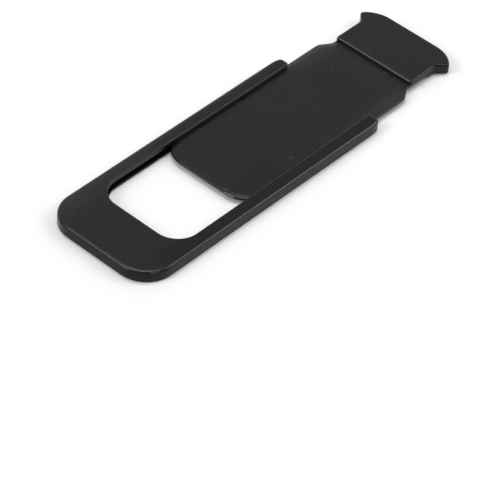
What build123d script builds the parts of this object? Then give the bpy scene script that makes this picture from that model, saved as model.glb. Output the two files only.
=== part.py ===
"""Stick-on webcam cover with a sliding shutter, shown open.

Two thin mouldings and two pads of double-sided tape:
  frame               flat surround with a window at one end, a floor at the
                      other and a grooved rail along each long side
  slider              thin shutter plate with a raised thumb tab whose end is
                      as thick as the frame
  left_adhesive_pad   tape under the closed end of the frame
  right_adhesive_pad  tape under the floor

Millimetres. Origin: middle of the clear window, on the plane that the tape
sticks to. +X is the way the shutter opens, +Z points away from the screen.
"""
import os
from build123d import *

os.makedirs("parts", exist_ok=True)

# ---------------------------------------------------------------- dimensions
# plan, measured from the closed end of the frame
length = 42.0          # outline that the frame is cut from
width = 16.0
corner_r = 3.9         # plan radius of the frame's corners
travel = 13.2          # shutter stroke
bridge = 6.76          # closed end to window edge
slot_half = 6.265      # half width between the lips of the rails
window_r = 3.0         # plan radius of the opening's two end corners
ledge = 0.165          # the floor stands in from the lips by this much
window_end = 20.6      # where the floor starts
floor_end = 37.4       # where the floor stops
tip_x = 39.65          # end of the rails
tip_r_out = 0.55       # the rail tips are rounded noses
tip_r_in = 0.72
groove_half = 6.95     # half width between the groove walls
pocket_x = 4.20        # bottom of the pocket inside the bridge

# heights, from the adhesive plane
pad_t = 0.12
z_frame = 0.05         # the tape stands proud of the frame by this much
z_floor = 0.30
z_plate = 0.36
z_plate_top = 0.90    # flat middle of the plate
z_plate_rim = 0.78    # its bevelled rim, which runs under the lips
z_lip = 0.92
z_pocket = 0.96       # roof of the pocket, over the flat middle of the plate
z_top = 1.50
z_tab = 1.42
z_grip = 0.06

# shutter, in the closed position
plate_x0 = 4.40
plate_half = 6.86
plate_r = 3.4
shoulder_x = 32.2      # the plate narrows here
shoulder_run = 1.55
neck_half = 5.84
tab_x = 34.38          # inner edge of the thumb tab
ramp_x = 37.64         # the underside slopes down from here
grip_x = 38.41         # full thickness from here to the end
hook_x = 38.97         # where the neck flares out
hook_rise = 0.92       # slope of the flare
slider_end = 41.98
slider_half = 7.72     # half width that the tab's end is cut from
slider_corner_r = 4.0
hook_tip_r = 0.40

# edge rounds
edge_r = 0.40          # outer top edge of the frame
foot_r = 0.05          # outer bottom edge of the frame
lip_r = 0.16           # inner edge of the lips
step_r = 0.38          # inner edge of the thumb tab
tab_r = 0.22           # its other top edges
plate_bevel = 0.71     # width of the bevel round the plate's top
plate_bevel_r = 2.0    # the bevel rolls softly into the flat middle
plate_top_r = 0.14
plate_undercut = (0.30, 0.20)   # width and height of the chamfer under the plate's rim
grip_foot_r = 0.20

# small features
nub_x = 31.5           # pip on the inner face of each lip
nub_r = 0.9
nub_proud = 0.12
stop_x = (35.8, 36.6)  # end stop on the floor
stop_half = 1.2
stop_t = 0.18
stop_slot_half = 1.5
stop_slot_t = 0.22
pad_inset = 0.55
pad_gap = 1.0          # from the window to the right pad
seat_gap = 0.10        # seat in the underside, wider than the tape

window_mid = (bridge + plate_x0 + travel) / 2      # origin along the length


def block(x0, x1, half, z0, z1):
    """Box from x0 to x1, symmetric across the length, z0 to z1."""
    return Pos((x0 + x1) / 2, 0, (z0 + z1) / 2) * Box(x1 - x0, 2 * half, z1 - z0)


def strip(x0, x1, half=20):
    """Rectangle from x0 to x1, symmetric across the length."""
    return Pos((x0 + x1) / 2, 0) * Rectangle(x1 - x0, 2 * half)


def rounded_left(x0, x1, half, r):
    """Rectangle with its two corners at x0 rounded."""
    s = strip(x0, x1, half)
    return fillet([v for v in s.vertices() if v.X < x0 + 1e-6], r)


def near(a, b, tol=1e-4):
    return abs(a - b) < tol


# --------------------------------------------------------------------- frame
outline = Pos(length / 2, 0) * RectangleRounded(length, width, corner_r)

# the outline cut off at the rail tips, with the outer corner of each tip round
shell = outline & strip(-10, tip_x)
shell = fillet([v for v in shell.vertices() if v.X > tip_x - 1e-4], tip_r_out)

frame = extrude(Pos(0, 0, z_frame) * shell, z_top - z_frame)
frame = fillet(frame.edges().filter_by(lambda e: near(e.bounding_box().min.Z, z_top)), edge_r)
frame = fillet(frame.edges().filter_by(lambda e: near(e.bounding_box().max.Z, z_frame)), foot_r)

# opening between the lips: round at the window end, flared at the mouth
mouth = strip(tip_x - tip_r_in, 42, slot_half + tip_r_in)
for s in (-1, 1):
    mouth -= Pos(tip_x - tip_r_in, s * (slot_half + tip_r_in)) * Circle(tip_r_in)
slot = rounded_left(bridge, tip_x, slot_half, window_r) + mouth
frame -= extrude(Pos(0, 0, z_lip - 0.01) * slot, z_top - z_lip + 1)

# round along the lips' inner edges
inner = [e for e in frame.edges()
         if near(e.bounding_box().min.Z, z_top) and e.bounding_box().max.X < tip_x - 0.3
         and bridge - 1e-3 < e.center().X and abs(e.center().Y) < slot_half + 0.01]
frame = fillet(inner, lip_r)

# groove that guides the shutter, running on as a pocket inside the bridge
groove = rounded_left(pocket_x, 43, groove_half, plate_r + groove_half - plate_half)
frame -= extrude(Pos(0, 0, z_floor) * groove, z_lip - z_floor)
pocket = rounded_left(pocket_x, bridge + window_r, slot_half - 0.015, window_r)
frame -= extrude(Pos(0, 0, z_floor) * pocket, z_pocket - z_floor)

# window through the floor, and the floor's free end between the rail tips
window = rounded_left(bridge + ledge, window_end, slot_half - ledge, window_r - ledge)
window = fillet([v for v in window.vertices() if v.X > window_end - 1e-6], 0.8)
frame -= extrude(Pos(0, 0, -1) * window, z_floor + 1.01)
frame -= extrude(Pos(0, 0, -1) * (slot & strip(floor_end, 43)), z_floor + 1.01)

# pip on the inner face of each lip
for s in (-1, 1):
    pip = Pos(nub_x, s * (slot_half + nub_r - nub_proud), z_lip + 0.04) * Cylinder(
        nub_r, 0.24, align=(Align.CENTER, Align.CENTER, Align.MIN))
    frame += pip & block(nub_x - 2, nub_x + 2, slot_half + 0.3, 0, z_top)

# end stop on the floor
frame += block(stop_x[0], stop_x[1], stop_half, z_floor - 0.05, z_floor + stop_t)

# ---------------------------------------------------------------------- tape
inset = offset(outline, -pad_inset)
left_pad = inset & strip(0, bridge - pad_inset)
left_pad = fillet([v for v in left_pad.vertices() if v.X > bridge - pad_inset - 1e-4], 0.6)
pad_x0 = window_end + pad_gap
pad_x1 = floor_end - pad_inset
right_pad = Pos((pad_x0 + pad_x1) / 2, 0) * RectangleRounded(pad_x1 - pad_x0, width - 2 * 0.8, 0.8)

left_adhesive_pad = extrude(left_pad, pad_t)
right_adhesive_pad = extrude(right_pad, pad_t)

# shallow seats for the tape in the frame's underside
for pad in (left_pad, right_pad):
    frame -= extrude(Pos(0, 0, -1) * offset(pad, seat_gap), pad_t + 1)

# -------------------------------------------------------------------- slider
# shutter in the closed position, moved to the open position at the end
half_plan = Polyline(
    (plate_x0, 0), (plate_x0, plate_half), (shoulder_x, plate_half),
    (shoulder_x + shoulder_run, neck_half), (hook_x, neck_half),
    (hook_x + 3, neck_half + 3 * hook_rise), (45, neck_half + 3 * hook_rise),
    (45, 0), (plate_x0, 0))
plan = make_face(half_plan)
plan += mirror(plan, Plane.XZ)
plan = plan & (Pos(slider_end / 2, 0) * RectangleRounded(
    slider_end, 2 * slider_half, slider_corner_r))


def at(sketch, x, y, tol=0.02):
    return [v for v in sketch.vertices() if abs(v.X - x) < tol and abs(abs(v.Y) - y) < tol]


plan = fillet(at(plan, plate_x0, plate_half), plate_r)
plan = fillet(at(plan, shoulder_x, plate_half), 1.2)
plan = fillet(at(plan, shoulder_x + shoulder_run, neck_half), 1.2)
plan = fillet(at(plan, hook_x, neck_half), 1.0)
plan = fillet([v for v in plan.vertices() if 39.6 < v.X < 40.8 and abs(v.Y) > 6.4], hook_tip_r)

# thin plate with a bevelled top rim, ending inside the thick end
plate = extrude(Pos(0, 0, z_plate) * (plan & strip(0, grip_x + 0.4)), z_plate_top - z_plate)
rim = plate.edges().filter_by(
    lambda e: near(e.bounding_box().min.Z, z_plate_top) and not near(e.center().X, grip_x + 0.4))
plate = chamfer(rim, length=plate_bevel, length2=z_plate_top - z_plate_rim,
                reference=plate.faces().sort_by(Axis.Z)[-1])
crease = plate.edges().filter_by(
    lambda e: near(e.bounding_box().min.Z, z_plate_top) and not near(e.center().X, grip_x + 0.4))
plate = fillet(crease, plate_bevel_r)
rim = plate.edges().filter_by(
    lambda e: near(e.bounding_box().min.Z, z_plate_rim) and near(e.bounding_box().max.Z, z_plate_rim)
    and not near(e.center().X, grip_x + 0.4))
plate = fillet(rim, plate_top_r)
rim = plate.edges().filter_by(
    lambda e: near(e.bounding_box().max.Z, z_plate) and not near(e.center().X, grip_x + 0.4))
plate = chamfer(rim, length=plate_undercut[0], length2=plate_undercut[1],
                reference=plate.faces().sort_by(Axis.Z)[0])

# thumb tab on top of it: a well rounded inner edge, the other edges crisp
tab = extrude(Pos(0, 0, z_plate + 0.24) * (plan & strip(tab_x, 50)), z_tab - z_plate - 0.24)
tab = fillet([e for e in tab.edges() if near(e.bounding_box().min.Z, z_tab)
              and near(e.bounding_box().max.X, tab_x)], step_r)
tab = fillet([e for e in tab.edges() if near(e.bounding_box().max.Z, z_tab)
              and not near(e.center().X, tab_x + step_r)], tab_r)

# thick end below the tab, with a sloping start
grip = extrude(Pos(0, 0, z_grip) * (plan & strip(ramp_x, 50)), z_plate + 0.3 - z_grip)
grip -= extrude(Plane.XZ * make_face(Polyline(
    (ramp_x - 1, z_grip - 1), (grip_x, z_grip - 1), (grip_x, z_grip),
    (ramp_x, z_plate), (ramp_x - 1, z_plate), (ramp_x - 1, z_grip - 1))), 20, both=True)
grip = fillet([e for e in grip.edges() if near(e.bounding_box().max.Z, z_grip)
               and e.center().X > grip_x + 0.01], grip_foot_r)

slider = plate + tab + grip

# blind slot in the underside, which meets the floor's end stop when open
slot_x0 = stop_x[0] - travel - 0.1
slot_x1 = stop_x[1] + 0.4
slider -= block(slot_x0, slot_x1, stop_slot_half, z_plate - 0.5, z_plate + stop_slot_t)

slider = Pos(travel, 0, 0) * slider

# -------------------------------------------------------------------- export
for name, solid in (("frame", frame), ("slider", slider),
                    ("left_adhesive_pad", left_adhesive_pad),
                    ("right_adhesive_pad", right_adhesive_pad)):
    solid = Pos(-window_mid, 0, 0) * solid
    bb = solid.bounding_box()
    print(name, "solids", len(solid.solids()), "volume", round(solid.volume, 2),
          "x", round(bb.min.X, 3), round(bb.max.X, 3),
          "y", round(bb.min.Y, 3), round(bb.max.Y, 3),
          "z", round(bb.min.Z, 3), round(bb.max.Z, 3), "valid", solid.is_valid)
    export_step(solid, f"parts/{name}.step")
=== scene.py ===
import bpy
import math
from mathutils import Matrix, Vector

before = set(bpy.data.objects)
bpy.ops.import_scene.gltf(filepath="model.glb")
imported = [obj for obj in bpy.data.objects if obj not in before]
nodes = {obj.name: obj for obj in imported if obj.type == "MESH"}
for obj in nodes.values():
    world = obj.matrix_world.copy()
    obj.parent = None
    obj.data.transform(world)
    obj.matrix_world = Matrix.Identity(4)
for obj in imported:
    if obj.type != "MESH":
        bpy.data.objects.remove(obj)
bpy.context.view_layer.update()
scene = bpy.context.scene

MID = 12.18            # origin of the frame, in mm from its closed end


# ---------------------------------------------------------------- node helpers
def new_tree(name):
    mat = bpy.data.materials.new(name)
    mat.use_nodes = True
    tree = mat.node_tree
    tree.nodes.clear()
    return mat, tree


def add(tree, kind, **values):
    n = tree.nodes.new(kind)
    for k, v in values.items():
        setattr(n, k, v)
    return n


def plug(tree, socket, value):
    if isinstance(value, (int, float, tuple, Vector)):
        socket.default_value = value
    else:
        tree.links.new(value, socket)


def math_node(tree, op, a, b=None, c=None, clamp=False):
    n = add(tree, "ShaderNodeMath", operation=op, use_clamp=clamp)
    for i, v in enumerate((a, b, c)):
        if v is not None:
            plug(tree, n.inputs[i], v)
    return n.outputs[0]


def vec(tree, op, a, b=None, c=None):
    n = add(tree, "ShaderNodeVectorMath", operation=op)
    for i, v in enumerate((a, b, c)):
        if v is not None:
            plug(tree, n.inputs[i], v)
    return n.outputs["Value" if op in ("LENGTH", "DISTANCE", "DOT_PRODUCT") else "Vector"]


def ramp(tree, value, lo, hi, a=0.0, b=1.0):
    n = add(tree, "ShaderNodeMapRange", interpolation_type="SMOOTHSTEP")
    tree.links.new(value, n.inputs["Value"])
    n.inputs["From Min"].default_value = lo
    n.inputs["From Max"].default_value = hi
    n.inputs["To Min"].default_value = a
    n.inputs["To Max"].default_value = b
    return n.outputs["Result"]


def noise(tree, co, scale, detail=2.0, rough=0.5):
    n = add(tree, "ShaderNodeTexNoise")
    n.inputs["Scale"].default_value = scale
    n.inputs["Detail"].default_value = detail
    n.inputs["Roughness"].default_value = rough
    tree.links.new(co, n.inputs["Vector"])
    return n.outputs["Fac"]


def product(tree, first, *rest):
    for r in rest:
        first = math_node(tree, "MULTIPLY", first, r)
    return first


def total(tree, first, *rest):
    for r in rest:
        first = math_node(tree, "ADD", first, r)
    return first


def place_mm(tree):
    """Place on the piece in mm: X from the frame's closed end, shutter open."""
    co = add(tree, "ShaderNodeTexCoord").outputs["Object"]
    return vec(tree, "MULTIPLY_ADD", co, (1000.0, 1000.0, 1000.0), (MID, 0.0, 0.0))


def outline_distance(tree, p, centre, half, r):
    """Distance outside a rounded rectangle in plan, negative inside."""
    q = vec(tree, "ABSOLUTE", vec(tree, "SUBTRACT", p, (*centre, 0.0)))
    q = vec(tree, "SUBTRACT", q, (half[0] - r, half[1] - r, 1000.0))
    q = vec(tree, "MAXIMUM", q, (0.0, 0.0, 0.0))
    return math_node(tree, "SUBTRACT", vec(tree, "LENGTH", q), r)


def speck(tree, p, point, radius):
    return ramp(tree, vec(tree, "DISTANCE", p, point), radius * 1.2, radius * 0.6)


def scratch(tree, p, a, b, radius):
    """Mark along the line from a to b."""
    along = Vector(b) - Vector(a)
    pa = vec(tree, "SUBTRACT", p, a)
    h = math_node(tree, "ADD", vec(tree, "DOT_PRODUCT", pa, along / along.length_squared), 0.0, clamp=True)
    n = add(tree, "ShaderNodeVectorMath", operation="SCALE")
    n.inputs[0].default_value = along
    tree.links.new(h, n.inputs["Scale"])
    return ramp(tree, vec(tree, "DISTANCE", pa, n.outputs["Vector"]), radius * 1.2, radius * 0.5)


# ------------------------------------------------------------------- materials
def plastic(name, tone, rough, features):
    """Dark satin moulding: fine grain, uneven sheen, hazing, scuffs and nicks, with painted light, painted
    shade and painted highlights in its colour.
    """
    mat, t = new_tree(name)
    out = add(t, "ShaderNodeOutputMaterial")
    bsdf = add(t, "ShaderNodeBsdfPrincipled")
    t.links.new(bsdf.outputs["BSDF"], out.inputs["Surface"])
    bsdf.inputs["IOR"].default_value = 1.36
    p = place_mm(t)
    grain = noise(t, p, 9.0, 3.0, 0.6)
    mottle = noise(t, p, 0.8, 3.0, 0.55)
    wide = noise(t, p, 0.16, 2.0, 0.5)
    haze_and_painted_light, polish_and_painted_shade, scuff_and_painted_highlight, marks_and_painted_glint, dull = features(t, p)

    # colour: nearly black, paler where it is hazed, scuffed or nicked and under the painted light and
    # painted highlights, darker under the painted shade
    k = math_node(t, "MULTIPLY_ADD", wide, 0.5 * tone, 0.75 * tone)
    k = math_node(t, "MULTIPLY", k, math_node(t, "MULTIPLY_ADD", mottle, 0.4, 0.8))
    k = math_node(t, "MULTIPLY", k, math_node(t, "MULTIPLY_ADD", haze_and_painted_light, 0.9, 1.0))
    k = math_node(t, "MULTIPLY", k, math_node(t, "MULTIPLY_ADD", polish_and_painted_shade, -0.75, 1.0))
    k = math_node(t, "MULTIPLY_ADD", scuff_and_painted_highlight, 0.010, k)
    k = math_node(t, "MULTIPLY_ADD", marks_and_painted_glint, 0.045, k)
    col = add(t, "ShaderNodeCombineColor")
    t.links.new(k, col.inputs["Red"])
    t.links.new(k, col.inputs["Green"])
    t.links.new(math_node(t, "MULTIPLY", k, 1.03), col.inputs["Blue"])
    t.links.new(col.outputs["Color"], bsdf.inputs["Base Color"])

    # sheen: softly uneven, duller where it is hazed and painted lighter, glossier where it is painted
    # darker
    r = math_node(t, "MULTIPLY_ADD", wide, 0.06, rough - 0.03)
    r = math_node(t, "MULTIPLY_ADD", mottle, 0.06, math_node(t, "SUBTRACT", r, 0.03))
    r = math_node(t, "MULTIPLY_ADD", haze_and_painted_light, 0.13, r)
    r = math_node(t, "MULTIPLY_ADD", polish_and_painted_shade, -0.06, r)
    r = math_node(t, "MULTIPLY_ADD", scuff_and_painted_highlight, 0.10, r)
    r = math_node(t, "MULTIPLY_ADD", marks_and_painted_glint, 0.25, r)
    t.links.new(r, bsdf.inputs["Roughness"])
    if dull is not None:
        t.links.new(math_node(t, "MULTIPLY_ADD", dull, -0.17, 0.5), bsdf.inputs["Specular IOR Level"])

    bump = add(t, "ShaderNodeBump")
    bump.inputs["Strength"].default_value = 0.15
    bump.inputs["Distance"].default_value = 0.00001
    height = math_node(t, "MULTIPLY_ADD", scuff_and_painted_highlight, -0.5, grain)
    t.links.new(height, bump.inputs["Height"])
    t.links.new(bump.outputs["Normal"], bsdf.inputs["Normal"])
    return mat


def frame_features(t, p):
    xyz = add(t, "ShaderNodeSeparateXYZ")
    t.links.new(p, xyz.inputs[0])
    x, y, z = xyz.outputs
    # the far rail is a little hazed and painted lighter, most of all beside the window and along its outer
    # edge: painted light
    haze_and_painted_light = product(t, ramp(t, y, 4.4, 7.0), ramp(t, x, 26.0, 9.0, 0.0, 0.65))
    haze_and_painted_light = total(t, haze_and_painted_light, ramp(t, y, 7.0, 7.7, 0.0, 0.7))
    # the long outer walls are duller than the top and painted paler towards their foot, which is painted
    # light, with a fine sparkle in them
    outside = outline_distance(t, p, (21.0, 0.0), (21.0, 8.0), 3.9)
    wall = product(t, ramp(t, outside, -0.34, -0.16), ramp(t, x, 3.0, 6.0),
                   ramp(t, z, 1.15, 0.5, 0.4, 1.0))
    haze_and_painted_light = math_node(t, "MULTIPLY_ADD", wall, 0.3, haze_and_painted_light)
    sparkle = product(t, wall, ramp(t, noise(t, p, 2.6, 2.0, 0.6), 0.58, 0.68, 0.0, 0.75))
    # the near rail's top and the closed end's wall are painted darker and glossier: painted shade
    polish_and_painted_shade = product(t, ramp(t, y, -4.6, -6.4), ramp(t, x, 2.2, 5.0),
                     ramp(t, outside, -0.16, -0.34))
    polish_and_painted_shade = total(t, polish_and_painted_shade, product(t, ramp(t, outside, -0.12, -0.03), ramp(t, x, 6.0, 3.0),
                                      ramp(t, z, 1.15, 0.95, 0.0, 0.8)))
    # the rounded outer edge is painted paler and duller all along, most of all low on the round, which is
    # a painted highlight, and scuffed in places
    edge = ramp(t, outside, -0.46, -0.2)
    wear_and_sheen = ramp(t, noise(t, p, 1.1, 4.0, 0.65), 0.58, 0.72, 0.5, 1.4)
    scuff_and_painted_highlight = product(t, edge, ramp(t, z, 1.06, 1.22), wear_and_sheen)
    scuff_and_painted_highlight = total(t, scuff_and_painted_highlight, product(t, edge, ramp(t, x, 3.0, 6.0), ramp(t, z, 1.06, 1.16),
                                    ramp(t, z, 1.44, 1.30, 0.0, 0.9)))
    marks_and_painted_glint = total(t, scratch(t, p, (1.62, -7.10, 1.36), (1.95, -7.36, 1.28), 0.10),
                  scratch(t, p, (2.10, -7.42, 1.36), (2.42, -7.52, 1.34), 0.09),
                  product(t, speck(t, p, (1.84, 5.64, 1.5), 0.10), 0.12), sparkle)
    # the outer walls shine less towards their top
    dull = product(t, ramp(t, outside, -0.10, -0.02), ramp(t, z, 0.2, 1.0),
                   math_node(t, "MAXIMUM", ramp(t, z, 1.22, 1.05), ramp(t, x, 6.0, 3.0)))
    return haze_and_painted_light, polish_and_painted_shade, scuff_and_painted_highlight, marks_and_painted_glint, dull


def slider_features(t, p):
    xyz = add(t, "ShaderNodeSeparateXYZ")
    t.links.new(p, xyz.inputs[0])
    x, y, z = xyz.outputs
    low = ramp(t, z, 1.05, 0.90)
    # painted light: hazed and painted paler where the plate stands out of the rails, most of all at its
    # shoulders and at both ends
    far = product(t, ramp(t, y, 3.6, 6.6), ramp(t, x, 34.0, 46.5, 0.0, 1.3))
    near = product(t, ramp(t, y, -4.4, -6.6), ramp(t, x, 30.0, 46.0, 0.0, 1.3))
    ends = total(t, ramp(t, x, 43.0, 46.8, 0.0, 0.18), ramp(t, x, 19.6, 17.8, 0.0, 0.1))
    haze_and_painted_light = product(t, low, total(t, far, near, ends))
    # faint streaks along the stroke
    stretched = vec(t, "MULTIPLY", p, (0.10, 5.0, 1.0))
    streak = ramp(t, noise(t, stretched, 1.0, 3.0, 0.6), 0.60, 0.78, 0.0, 0.12)
    haze_and_painted_light = math_node(t, "MULTIPLY_ADD", streak, low, haze_and_painted_light)
    # painted shade: darker and glossier on the near side of the plate towards its closed end
    polish_and_painted_shade = product(t, low, ramp(t, y, 1.5, -3.5, 0.0, 0.3), ramp(t, x, 30.0, 24.0))
    # scuffs along the rim of the thumb tab
    edge = ramp(t, outline_distance(t, p, (34.19, 0.0), (20.99, 7.72), 4.0), -0.30, -0.1)
    wear_and_sheen = ramp(t, noise(t, p, 1.3, 4.0, 0.65), 0.56, 0.70)
    scuff_and_painted_highlight = product(t, edge, ramp(t, z, 1.0, 1.25), wear_and_sheen)
    marks_and_painted_glint = total(
        t,
        product(t, speck(t, p, (27.42, -4.69, 0.90), 0.15), 0.45),
        product(t, speck(t, p, (42.79, 2.45, 0.90), 0.13), 0.40),
        product(t, speck(t, p, (47.23, -2.30, 0.90), 0.12), 0.6),
        product(t, speck(t, p, (47.32, -3.70, 0.90), 0.10), 0.6),
        product(t, speck(t, p, (51.06, -5.44, 1.42), 0.10), 0.4),
        product(t, scratch(t, p, (17.93, -2.92, 0.84), (18.10, -3.50, 0.84), 0.10), 0.35),
        # painted highlight: the bright streak along the rim at the plate's near-left corner
        product(t, scratch(t, p, (17.62, -3.40, 0.74), (17.80, -4.50, 0.74), 0.13), 2.2))
    return haze_and_painted_light, polish_and_painted_shade, scuff_and_painted_highlight, marks_and_painted_glint, None


def tape(name):
    """Double-sided tape: pale, slightly uneven film."""
    mat, t = new_tree(name)
    out = add(t, "ShaderNodeOutputMaterial")
    bsdf = add(t, "ShaderNodeBsdfPrincipled")
    t.links.new(bsdf.outputs["BSDF"], out.inputs["Surface"])
    p = place_mm(t)
    fine = noise(t, p, 1.5, 4.0, 0.6)
    wide = noise(t, p, 0.25, 2.0, 0.5)
    col = add(t, "ShaderNodeValToRGB")
    col.color_ramp.elements[0].color = (0.62, 0.62, 0.60, 1)
    col.color_ramp.elements[1].color = (0.80, 0.80, 0.79, 1)
    t.links.new(wide, col.inputs["Fac"])
    t.links.new(col.outputs["Color"], bsdf.inputs["Base Color"])
    t.links.new(math_node(t, "MULTIPLY_ADD", fine, 0.2, 0.22), bsdf.inputs["Roughness"])
    bump = add(t, "ShaderNodeBump")
    bump.inputs["Strength"].default_value = 0.3
    bump.inputs["Distance"].default_value = 0.00002
    t.links.new(fine, bump.inputs["Height"])
    t.links.new(bump.outputs["Normal"], bsdf.inputs["Normal"])
    return mat


frame_mat = plastic("charcoal_frame", 0.0028, 0.23, frame_features)
slider_mat = plastic("charcoal_slider", 0.0028, 0.23, slider_features)
tape_mat = tape("pale_tape")
for name, mat in (("frame", frame_mat), ("slider", slider_mat),
                  ("left_adhesive_pad", tape_mat), ("right_adhesive_pad", tape_mat)):
    o = nodes[name]
    o.data.materials.clear()
    o.data.materials.append(mat)

# ----------------------------------------------------------------------- stage
floor_mesh = bpy.data.meshes.new("floor")
s = 1.2
floor_mesh.from_pydata([(-s, -s, 0), (s, -s, 0), (s, s, 0), (-s, s, 0)], [], [(0, 1, 2, 3)])
floor = bpy.data.objects.new("floor", floor_mesh)
floor.location = (0.0, 0.0, -0.00001)
scene.collection.objects.link(floor)
mat, t = new_tree("pale_floor")
out = add(t, "ShaderNodeOutputMaterial")
bsdf = add(t, "ShaderNodeBsdfPrincipled")
bsdf.inputs["Base Color"].default_value = (0.635, 0.635, 0.635, 1)
# a faint glow from below, as on a light table
bsdf.inputs["Emission Color"].default_value = (1, 1, 1, 1)
bsdf.inputs["Emission Strength"].default_value = 0.05
bsdf.inputs["Roughness"].default_value = 0.9
bsdf.inputs["Specular IOR Level"].default_value = 0.1
t.links.new(bsdf.outputs["BSDF"], out.inputs["Surface"])
floor_mesh.materials.append(mat)

# ----------------------------------------------------------------------- light
# a dim room with soft boxes: overhead, on either side, and low behind and right
world = bpy.data.worlds.new("studio")
scene.world = world
world.use_nodes = True
t = world.node_tree
t.nodes.clear()
out = add(t, "ShaderNodeOutputWorld")
bg = add(t, "ShaderNodeBackground")
t.links.new(bg.outputs["Background"], out.inputs["Surface"])
co = add(t, "ShaderNodeTexCoord").outputs["Generated"]


def towards(direction):
    return vec(t, "DOT_PRODUCT", co, Vector(direction).normalized())


def soft_box(direction, inner, outer, strength):
    return ramp(t, towards(direction), math.cos(math.radians(outer)),
                math.cos(math.radians(inner)), 0.0, strength)


level = ramp(t, towards((0.573, 0.458, 0.679)), 0.2, 0.8, 0.30, 0.56)
level = math_node(t, "ADD", level, ramp(t, towards((0.30, 0.60, 0.74)), 0.82, 0.99, 0.0, 0.265))
for box in (((0.12, 0.14, 0.98), 13, 18, 9.0),
            ((0.67, -0.46, 0.58), 15, 20.5, 6.0),
            ((-0.70, 0.36, 0.61), 12, 18, 9.5),
            ((0.58, 0.78, 0.22), 14, 26, 0.95),
            ((0.92, 0.36, 0.15), 12, 24, 1.2)):
    level = math_node(t, "ADD", level, soft_box(*box))
t.links.new(level, bg.inputs["Strength"])

# ---------------------------------------------------------------------- camera
# fitted to the outline of the frame, origin moved from the closed end
cam_data = bpy.data.cameras.new("camera")
cam_data.sensor_width = 36.0
cam_data.sensor_fit = "HORIZONTAL"
cam_data.lens = 36.0 * 2840.9426 / 480.0
cam_data.clip_start = 0.01
cam_data.clip_end = 10.0
cam = bpy.data.objects.new("camera", cam_data)
scene.collection.objects.link(cam)
right = Vector((0.6708575534639327, -0.7383956237706253, 0.06871714310691052))
up = -Vector((-0.4702575074886414, -0.49522595843189077, -0.730485541777375))
back = -Vector((0.5734178403319493, 0.4577369909583491, -0.6794621604603444))
place = Vector((-167.7685 - MID, -154.2297, 215.0436)) / 1000.0
cam.matrix_world = Matrix(((right.x, up.x, back.x, place.x),
                           (right.y, up.y, back.y, place.y),
                           (right.z, up.z, back.z, place.z),
                           (0, 0, 0, 1)))
scene.camera = cam
scene.view_settings.view_transform = "Standard"
scene.view_settings.look = "None"

# ------------------------------------------------------------------------ update
bpy.context.view_layer.update()
